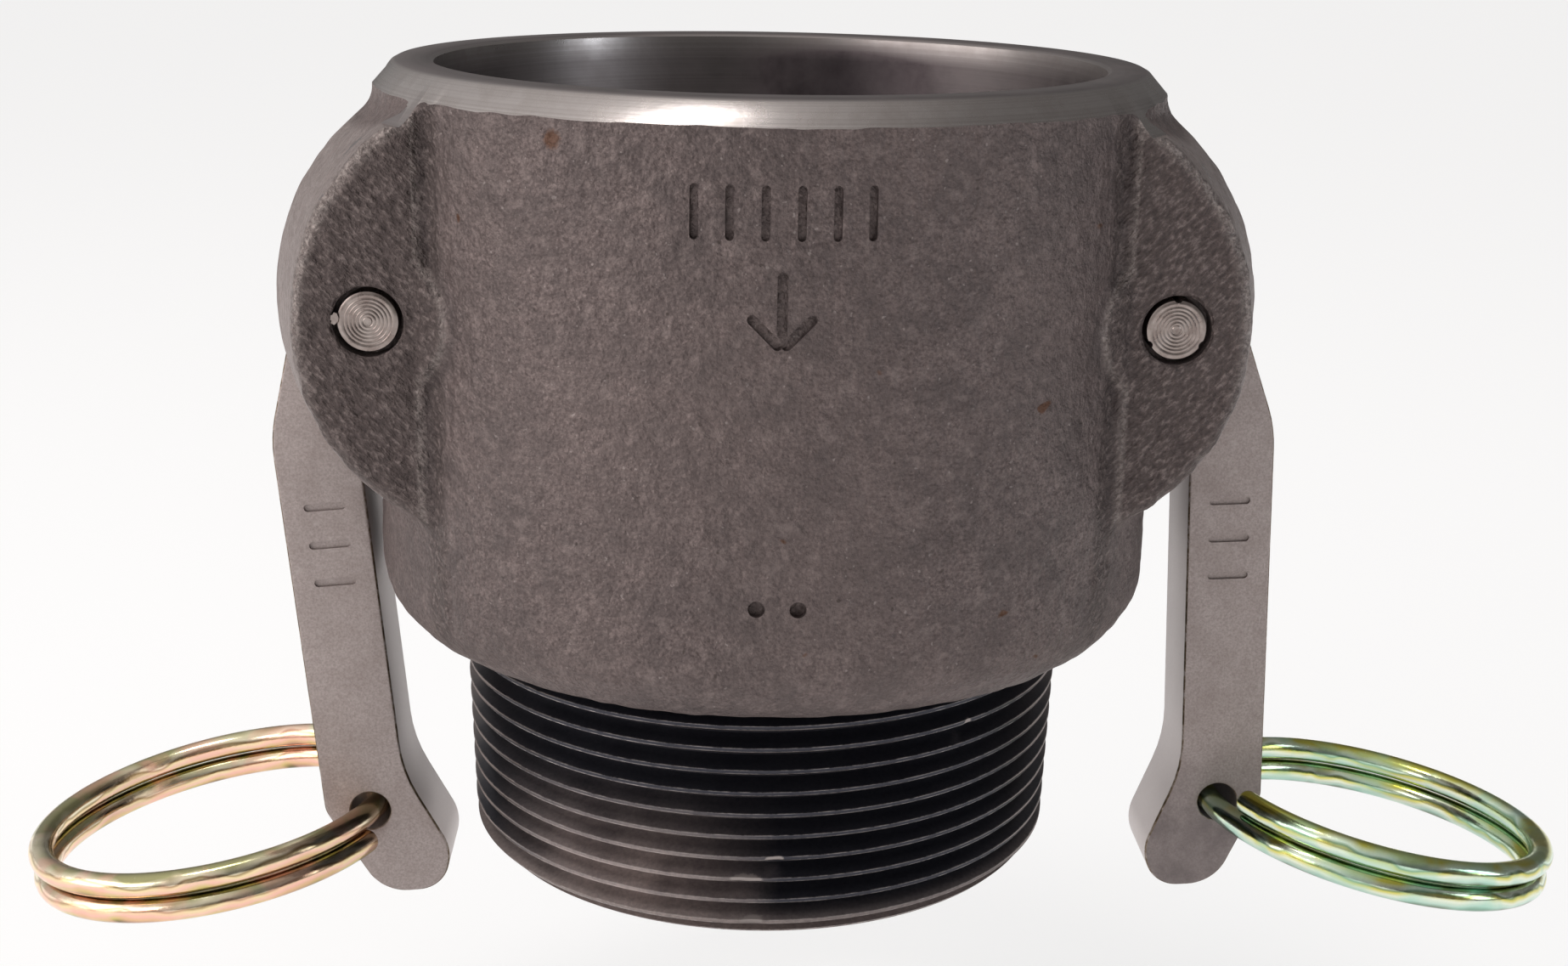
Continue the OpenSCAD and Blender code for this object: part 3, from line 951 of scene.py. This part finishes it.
def socket_void():
    """The turned hollow: waterway, gasket recess, nose land, socket and lead-in."""
    edge, below, above = 0.3, -1, HEIGHT + 2
    profile = [(0, below), (WATERWAY_R + 1, below), (WATERWAY_R, 0.5), (WATERWAY_R, SEAT_Z),
               (RECESS_R, SEAT_Z), (RECESS_R, RECESS_TOP_Z), (LAND_R + edge, RECESS_TOP_Z),
               (LAND_R, RECESS_TOP_Z + edge), (LAND_R, LAND_TOP_Z), (SOCKET_R, LAND_TOP_Z + 1),
               (SOCKET_R, HEIGHT - LEAD_H), (LEAD_R - 0.1, HEIGHT - edge), (LEAD_R + edge, HEIGHT),
               (LEAD_R + 1, above), (0, above)]
    return revolve("void", profile, LATHE_STEPS)


def on_barrel(outline, depth):
    """A tool that stamps an outline, in millimetres round and up the barrel, into its front."""
    def place(r):
        return lambda s, z: (r * math.sin(s / BARREL_R), -r * math.cos(s / BARREL_R), z)
    return prism("stamp", outline, place(BARREL_R - depth), place(BARREL_R + 2))


def cut_arm_slots(casting):
    """The slot between each pair of ears and its window into the socket."""
    half = SLOT_W / 2
    for side in SIDES.values():
        for floor_x, low_z, high_z in ((SLOT_FLOOR_X, SLOT_END_Z, HEIGHT + 5),
                                       (BARREL_R + 0.05, 20, SLOT_END_Z + 1)):
            low_x, high_x = sorted((side * floor_x, side * CLEAR))
            cut(casting, block("slot", (low_x, -half, low_z), (high_x, half, high_z)))
        cut(casting, bar_y("window", side * PIN_X, PIN_Z, WINDOW_R, half))


def cut_pin_holes(casting):
    """The pins' holes, opened out at each ear's face."""
    edge = 0.2
    mouth, wide, far = EAR_FACE_Y - HOLE_MOUTH_DEPTH, HOLE_MOUTH_R + 4 * edge, EAR_FACE_Y + 4
    half = [(PIN_R, 0), (PIN_R, mouth), (HOLE_MOUTH_R, mouth), (HOLE_MOUTH_R, EAR_FACE_Y - edge),
            (wide, EAR_FACE_Y + 3 * edge), (wide, far), (0, far)]
    profile = [(r, -z) for r, z in reversed(half)] + half
    for side in SIDES.values():
        cut(casting, revolve("hole", profile, 96, along_y(side * PIN_X, PIN_Z)))


def stamp_marks(casting):
    """Plain workshop marks in place of lettering: a row of bars, an arrow and two size dots."""
    top, middle, low = HEIGHT - 9.0, HEIGHT - 17.0, HEIGHT - 43.0
    marks = [stadium(s, top, 4.6, 0.75, 90) for s in (-7.5, -4.5, -1.5, 1.5, 4.5, 7.5)]
    marks += [stadium(0, middle, 6.4, 0.9, 90)]
    marks += [stadium(side * 1.45, middle - 1.9, 3.9, 0.9, 90 - side * 45) for side in SIDES.values()]
    marks += [stadium(s, low, 1.5, 1.49) for s in (-1.8, 1.8)]
    for outline in marks:
        cut(casting, on_barrel(outline, MARK_DEPTH))


def face_kinds(mesh):
    """The material of each face: 0 cast, 1 turned, 2 thread."""
    centres, normals = vectors(mesh.polygons, "center"), vectors(mesh.polygons, "normal")
    r, z = np.hypot(centres[:, 0], centres[:, 1]), centres[:, 2]
    rim_z, waterway_edge = HEIGHT - 0.3, WATERWAY_R + 1.05

    outward = (normals[:, 0] * centres[:, 0] + normals[:, 1] * centres[:, 1]) / np.maximum(r, 1)
    slant = (outward + CONE_SLOPE * normals[:, 2]) / math.hypot(1, CONE_SLOPE)
    on_cone = (np.abs(r - RIM_R - CONE_SLOPE * (HEIGHT - z)) < 0.06) & (slant > 0.985)
    in_slot = (np.abs(centres[:, 1]) < SLOT_W / 2 + 0.02) & (r > SOCKET_R + 0.2) & (z < rim_z)
    bore = (r < RECESS_R + 0.05) & (z > SHOULDER_Z)
    turned = on_cone | ((bore | (z > rim_z) | (r < waterway_edge)) & ~in_slot)

    thread = (z < SHOULDER_Z + 0.6) & (r < CREST_R + 1.0) & (r > waterway_edge)
    thread &= ~((z > SHOULDER_Z - 0.6) & (r > CREST_R + 0.78))
    thread &= ~((z < END_H) & (np.abs(r - END_R - z) < 0.03))
    return np.where(thread, 2, turned).astype(np.int32)


def brown_and_shade_levels(x, z, r):
    """How much each turned face is browned and shaded: painted shade in the bore, darker towards the right,
    deepest near the middle and lighter on the lead-in, painted shade on the cone beyond the barrel on the
    left, and a brown rim. Above 1 it darkens to near-black painted shade, as in part of the bore.
    """
    bore = (r < RECESS_R + 0.05) & (z > SHOULDER_Z)
    lead_in = z > HEIGHT - LEAD_H + 0.05
    # Painted shade in the bore: darker towards the right, deepest near the middle, lighter on the lead-in.
    right_side_shade = fade(x, -5, 10)
    bore_centre_shade = 0.8 * bell(x, 8, 9)
    brown_tone_and_shade = np.where(bore, np.where(lead_in, 0.1 + 0.1 * right_side_shade, 0.5 + 0.25 * right_side_shade + bore_centre_shade), 0.0)
    # Painted shade on the turned cone beyond the barrel on the left.
    brown_tone_and_shade = np.where((r > BARREL_R) & (x < 0), 0.6, brown_tone_and_shade)
    return np.where(z > HEIGHT - 0.02, 0.75, brown_tone_and_shade)


def paint_points(mesh):
    """Worn edges, nicks, painted light and painted shade on the body's points, for its materials to read."""
    points = vectors(mesh.vertices, "co")
    x, y, z = points.T
    ax, ay, r = np.abs(x), np.abs(y), np.hypot(x, y)

    up = np.arctan2(z - EAR_LOWER_CENTRE[1], ax - EAR_LOWER_CENTRE[0])
    wear_and_light = bell(ear_face_distance(ax, z), -0.25, 0.6) * (ax > EAR_ROOT_X)
    wear_and_light *= bell(ay, EAR_FACE_Y - 0.3, 0.7) * np.clip((up + 0.5) / 0.6, 0.15, 1)
    beside = beside_ear(ax, z)
    root = (ax < EAR_ROOT_X + 0.4) & (ay > EAR_SLOT_Y) & (r > LEAD_R + 2)
    root &= (z > VALLEY_Z[0]) & (z < VALLEY_Z[1])
    # Painted highlight: a light line along the raised lip at each ear's inner edge.
    wear_and_light += 0.65 * root * bell(beside, -0.25, 0.35)
    # Painted light from below on the thread's chamfered end.
    wear_and_light += 0.75 * ((z < END_H + 0.1) & (np.abs(r - END_R - z) < 0.05))
    flank = fade(r, BARREL_R + 1, BARREL_R + 2) * fade(ay, EAR_FACE_Y - 0.5, EAR_FACE_Y - 1.1)
    below_crest = CREST_R + z * TAPER - r

    add_attribute(mesh, "ear_face", on_ear_face(points))
    add_attribute(mesh, "ear_flank", flank * (ay > EAR_SLOT_Y - 0.5))
    add_attribute(mesh, "wear_and_painted_light", np.clip(wear_and_light, 0, 1))
    # Painted shadow beside the raised lip at each ear's inner edge.
    add_attribute(mesh, "groove", root * bell(beside, 0.65, 0.5))
    # Painted shade in the bore and on the cone's left end, and the brown rim.
    add_attribute(mesh, "brown_tone_and_shade", brown_and_shade_levels(x, z, r))
    add_attribute(mesh, "crest_edge", (below_crest < 0.008) & (z < SHOULDER_Z))
    add_attribute(mesh, "nick", nick_strength(points))


def build_body():
    casting = raw_casting()
    combine(casting, threaded_rod(), "UNION")
    cut(casting, turning_waste())
    cut(casting, socket_void())
    cut_arm_slots(casting)
    cut_pin_holes(casting)
    stamp_marks(casting)
    weld(casting, 1e-3)
    casting.data.polygons.foreach_set("material_index", face_kinds(casting.data))
    paint_points(casting.data)
    materials = [cast_metal(), turned_metal(), thread_metal()]
    publish(casting, "coupling_body", "body", materials, 38)


# ------------------------------ gasket

def build_gasket():
    """A flat ring with rounded edges and two shallow moulded grooves on its upper face."""
    low, high = box_mm("gasket")
    outer, inner = high[0], GASKET_HOLE_R
    bottom, top = low[2], high[2]
    edge, depth = 0.7, 0.35
    section = arc((outer - edge, bottom + edge), edge, -90, 0, 4)
    section += arc((outer - edge, top - edge), edge, 0, 90, 4)
    for r in (31.2, 28.2):
        section += [(r + 0.6, top), (r, top - depth), (r - 0.6, top)]
    section += arc((inner + edge, top - edge), edge, 90, 180, 4)
    section += arc((inner + edge, bottom + edge), edge, 180, 270, 4)
    ring = revolve("gasket_ring", section, 192)
    publish(ring, "coupling_body", "gasket", [black_rubber()])


# ------------------------------ arms and pins

def to_arm(side, tilt):
    """Places something drawn from the pin's axis, +X outward, on one side of the body."""
    mirror = Matrix.Scale(side, 4, (1, 0, 0))
    turn = Matrix.Rotation(math.radians(-tilt), 4, "Y")
    return Matrix.Translation((side * PIN_X, 0, PIN_Z)) @ mirror @ turn


def plate(name, outline, thickness, edge):
    """A flat plate in the XZ plane with rounded edges."""
    curve = bpy.data.curves.new(name, "CURVE")
    curve.dimensions = "2D"
    curve.fill_mode = "BOTH"
    curve.extrude = thickness / 2 - edge
    curve.bevel_depth = edge
    curve.bevel_resolution = 2
    curve.offset = -edge
    spline = curve.splines.new("POLY")
    spline.points.add(len(outline) - 1)
    for point, (x, y) in zip(spline.points, outline):
        point.co = (x, y, 0, 1)
    spline.use_cyclic_u = True
    holder = add_to_scene(name, curve)
    mesh = evaluated_mesh(holder)
    bpy.data.objects.remove(holder)
    bpy.data.curves.remove(curve)
    obj = add_to_scene(name, mesh)
    mesh.transform(Matrix.Rotation(math.radians(90), 4, "X"))
    weld(obj, 1e-3)
    return obj


def chamfered_bore(x, z, r, half, chamfer):
    """A tool along Y that cuts a hole with a chamfer at both faces."""
    wide, far = r + chamfer + 1, half + 1
    profile = [(0, -far), (wide, -far), (r, -half + chamfer), (r, half - chamfer), (wide, far), (0, far)]
    return revolve("bore", profile, 64, along_y(x, z))


def build_arm(name, side, materials):
    """A cam arm with its pin bore, ring hole and three stamped bars."""
    half = ARM_T / 2
    arm = plate(name + "_lever", rounded(ARM_CORNERS), ARM_T, ARM_EDGE_ROUND)
    cut(arm, chamfered_bore(0, 0, PIN_R + 0.06, half, 0.2))
    cut(arm, chamfered_bore(*RING_HOLE, RING_HOLE_R, half, 0.1))
    for z in (-22.0, -26.0, -30.0):
        cut(arm, prism_y("stamp", stadium(9.9, z, 4.2, 0.8), -half - 1, -half + 0.28))
    weld(arm, 1e-3)
    mesh = arm.data
    mesh.update()
    facing_y = np.abs(vectors(mesh.polygons, "normal")[:, 1])
    on_edge = (facing_y > 0.15) & (facing_y < 0.95)
    mesh.polygons.foreach_set("material_index", on_edge.astype(np.int32))
    off_middle = np.abs(vectors(mesh.vertices, "co")[:, 1])
    add_attribute(mesh, "cut_side", off_middle < half - ARM_EDGE_ROUND + 0.02)
    mesh.transform(to_arm(side, ARM_TILT[name]))
    if side == LEFT:
        mesh.flip_normals()
    publish(arm, name + "_arm", name + "_cam_arm", materials)


def build_pin(name, side, materials):
    """A pin with turning grooves on its ends. The left one has a burr, the right one three grooves."""
    half = EAR_FACE_Y - 0.25
    rings = 7
    end = [(0, half - 0.02)]
    for k in range(1, rings):
        r = PIN_R * 0.86 * k / rings
        end += [(r, half), (r + 0.09, half - 0.06), (r + 0.18, half)]
    end += [(PIN_R - 0.3, half), (PIN_R - 0.08, half - 0.1), (PIN_R, half - 0.32)]
    profile = [(r, -z) for r, z in end] + [(r, z) for r, z in reversed(end)]
    centre = side * PIN_X
    pin = revolve(name + "_pin", profile, 96, along_y(centre, PIN_Z))
    if side == RIGHT:
        for x, z in arc((centre, PIN_Z), PIN_R + 0.12, 90, 330, 2):
            cut(pin, bar_y("groove", x, z, 0.42, half + 1, 24))
    else:
        outline = [(centre - PIN_R + x, PIN_Z + z) for x, z in BURR]
        combine(pin, prism_y("burr", outline, -half - 0.12, -half + 0.9), "UNION")
    publish(pin, "coupling_body", name + "_arm_pin", materials)


# ------------------------------ pull rings

def coil_stations(start, end):
    """(turn in degrees, wire radius) all along a coil between two turns, with rounded ends."""
    cap = [math.pi / 2 * k / 5 for k in range(5)]
    bulge = math.degrees(0.55 * WIRE_R / COIL_R)
    first = [(start - bulge * math.cos(a), max(WIRE_R * math.sin(a), 0.02)) for a in cap]
    middle = [(start + (end - start) * i / COIL_STEPS, WIRE_R) for i in range(COIL_STEPS + 1)]
    last = [(end + bulge * math.cos(a), max(WIRE_R * math.sin(a), 0.02)) for a in reversed(cap)]
    return first + middle + last


def build_ring(name, side):
    """A split ring: nearly two turns of wire, with its middle turn through the arm's hole."""
    gaps = (COIL_FRONT_GAP[name], COIL_BACK_GAP)
    if side == RIGHT:
        gaps = gaps[::-1]
    stations = coil_stations(gaps[0] - 360, 360 - gaps[1])
    points = []
    for turn, wire in stations:
        a = math.radians(-turn)
        for j in range(WIRE_SIDES):
            b = 2 * math.pi * j / WIRE_SIDES
            r = COIL_R + wire * math.cos(b)
            z = COIL_PITCH * turn / 360 + wire * math.sin(b)
            points.append((r * math.cos(a), r * math.sin(a), z))
    faces = [tuple(range(WIRE_SIDES)), tuple(range(len(points) - WIRE_SIDES, len(points)))]
    for i in range(len(stations) - 1):
        here, there = i * WIRE_SIDES, (i + 1) * WIRE_SIDES
        for j in range(WIRE_SIDES):
            n = (j + 1) % WIRE_SIDES
            faces.append((here + j, here + n, there + n, there + j))
    ring = new_object(name + "_split_ring", points, faces)

    shift = (side * (COIL_R - COIL_SHIFT_IN), COIL_SHIFT_Y[name], -COIL_SHIFT_DOWN)
    matrix = Matrix.Translation(joint_mm(name + "_ring_swing"))
    matrix @= Matrix.Rotation(math.radians(side * RING_DROOP), 4, "Y")
    matrix @= Matrix.Rotation(math.radians(-RING_LEAN), 4, "X")
    matrix @= Matrix.Translation(shift)
    if side == RIGHT:
        matrix @= Matrix.Rotation(math.pi, 4, "Z")
    ring.data.transform(matrix)
    publish(ring, name + "_ring", name + "_pull_ring", [passivated_zinc(name)])


# ------------------------------ studio

def add_floor():
    """A pale floor, brighter to the camera than to the coupling."""
    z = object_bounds()[0][2] - FLOOR_DROP * MM
    mesh = bpy.data.meshes.new("floor")
    corners = [(x * FLOOR_HALF, y * FLOOR_HALF, z) for x, y in ((-1, -1), (1, -1), (1, 1), (-1, 1))]
    mesh.from_pydata(corners, [], [(0, 1, 2, 3)])
    n = Material("floor_paint")
    seen = n.add("ShaderNodeLightPath").outputs["Is Camera Ray"]
    glow = n.math("ADD", n.times(seen, FLOOR_GLOW - FLOOR_BOUNCE), FLOOR_BOUNCE)
    paint = n.mix(seen, (0.8, 0.8, 0.8), (0.33, 0.33, 0.33))
    mesh.materials.append(n.finish(Base_Color=paint, Roughness=0.9, Specular_IOR_Level=0.0,
                                   Emission_Color=(1, 1, 1), Emission_Strength=glow))
    add_to_scene("floor", mesh)


def add_room():
    """A dim room that grows lighter towards the upper left. The camera sees it as pale."""
    world = bpy.data.worlds.new("studio")
    world.use_nodes = True
    n = Nodes(world.node_tree)
    direction = n.add("ShaderNodeTexCoord").outputs["Generated"]
    facing = n.add("ShaderNodeVectorMath", operation="DOT_PRODUCT")
    n.set(facing, 0, direction)
    n.set(facing, 1, Vector(ROOM_LIGHT_SIDE).normalized())
    side = n.times(n.fade(facing.outputs["Value"], 0.1, 1.0), ROOM_LIGHT - ROOM_DARK)
    top = n.times(n.fade(n.split(direction)[2], 0.0, 1.0), ROOM_TOP)
    level = n.math("ADD", n.math("ADD", side, ROOM_DARK), top)
    seen = n.add("ShaderNodeLightPath").outputs["Is Camera Ray"]
    unseen = n.math("SUBTRACT", 1.0, seen)
    background = n.tree.nodes["Background"]
    n.set(background, "Color", ROOM_TINT)
    n.set(background, "Strength", n.math("ADD", n.times(level, unseen), n.times(seen, ROOM_SEEN)))
    bpy.context.scene.world = world


def add_light(name, place, size, power, tint):
    """A soft box that faces the coupling."""
    light = bpy.data.lights.new(name, "AREA")
    light.shape = "RECTANGLE"
    light.size, light.size_y = size
    light.energy = power
    light.color = tint
    obj = add_to_scene(name, light)
    obj.location = place
    obj.rotation_euler = (Vector(LIT_POINT) - Vector(place)).to_track_quat("-Z", "Y").to_euler()


def add_camera():
    """A close camera a little above the rim, looking slightly down at the front."""
    camera = bpy.data.cameras.new("camera")
    camera.lens = CAMERA_LENS
    camera.sensor_width = SENSOR_WIDTH
    camera.clip_start = 0.01
    turn = Matrix.Rotation(math.radians(-CAMERA_YAW), 4, "Z")
    turn @= Matrix.Rotation(math.radians(90 - CAMERA_PITCH), 4, "X")
    turn @= Matrix.Rotation(math.radians(CAMERA_ROLL), 4, "Z")
    obj = add_to_scene("camera", camera)
    obj.matrix_world = Matrix.Translation(Vector(CAMERA_PLACE) * MM) @ turn
    bpy.context.scene.camera = obj


# ------------------------------ build

arm_materials = [arm_metal(), arm_edge_metal()]
pin_materials = [pin_metal()]
build_body()
build_gasket()
for side_name, side_sign in SIDES.items():
    build_arm(side_name, side_sign, arm_materials)
    build_pin(side_name, side_sign, pin_materials)
    build_ring(side_name, side_sign)

add_floor()
add_room()
for light_settings in LIGHTS:
    add_light(*light_settings)
add_camera()
bpy.context.scene.view_settings.view_transform = "Standard"
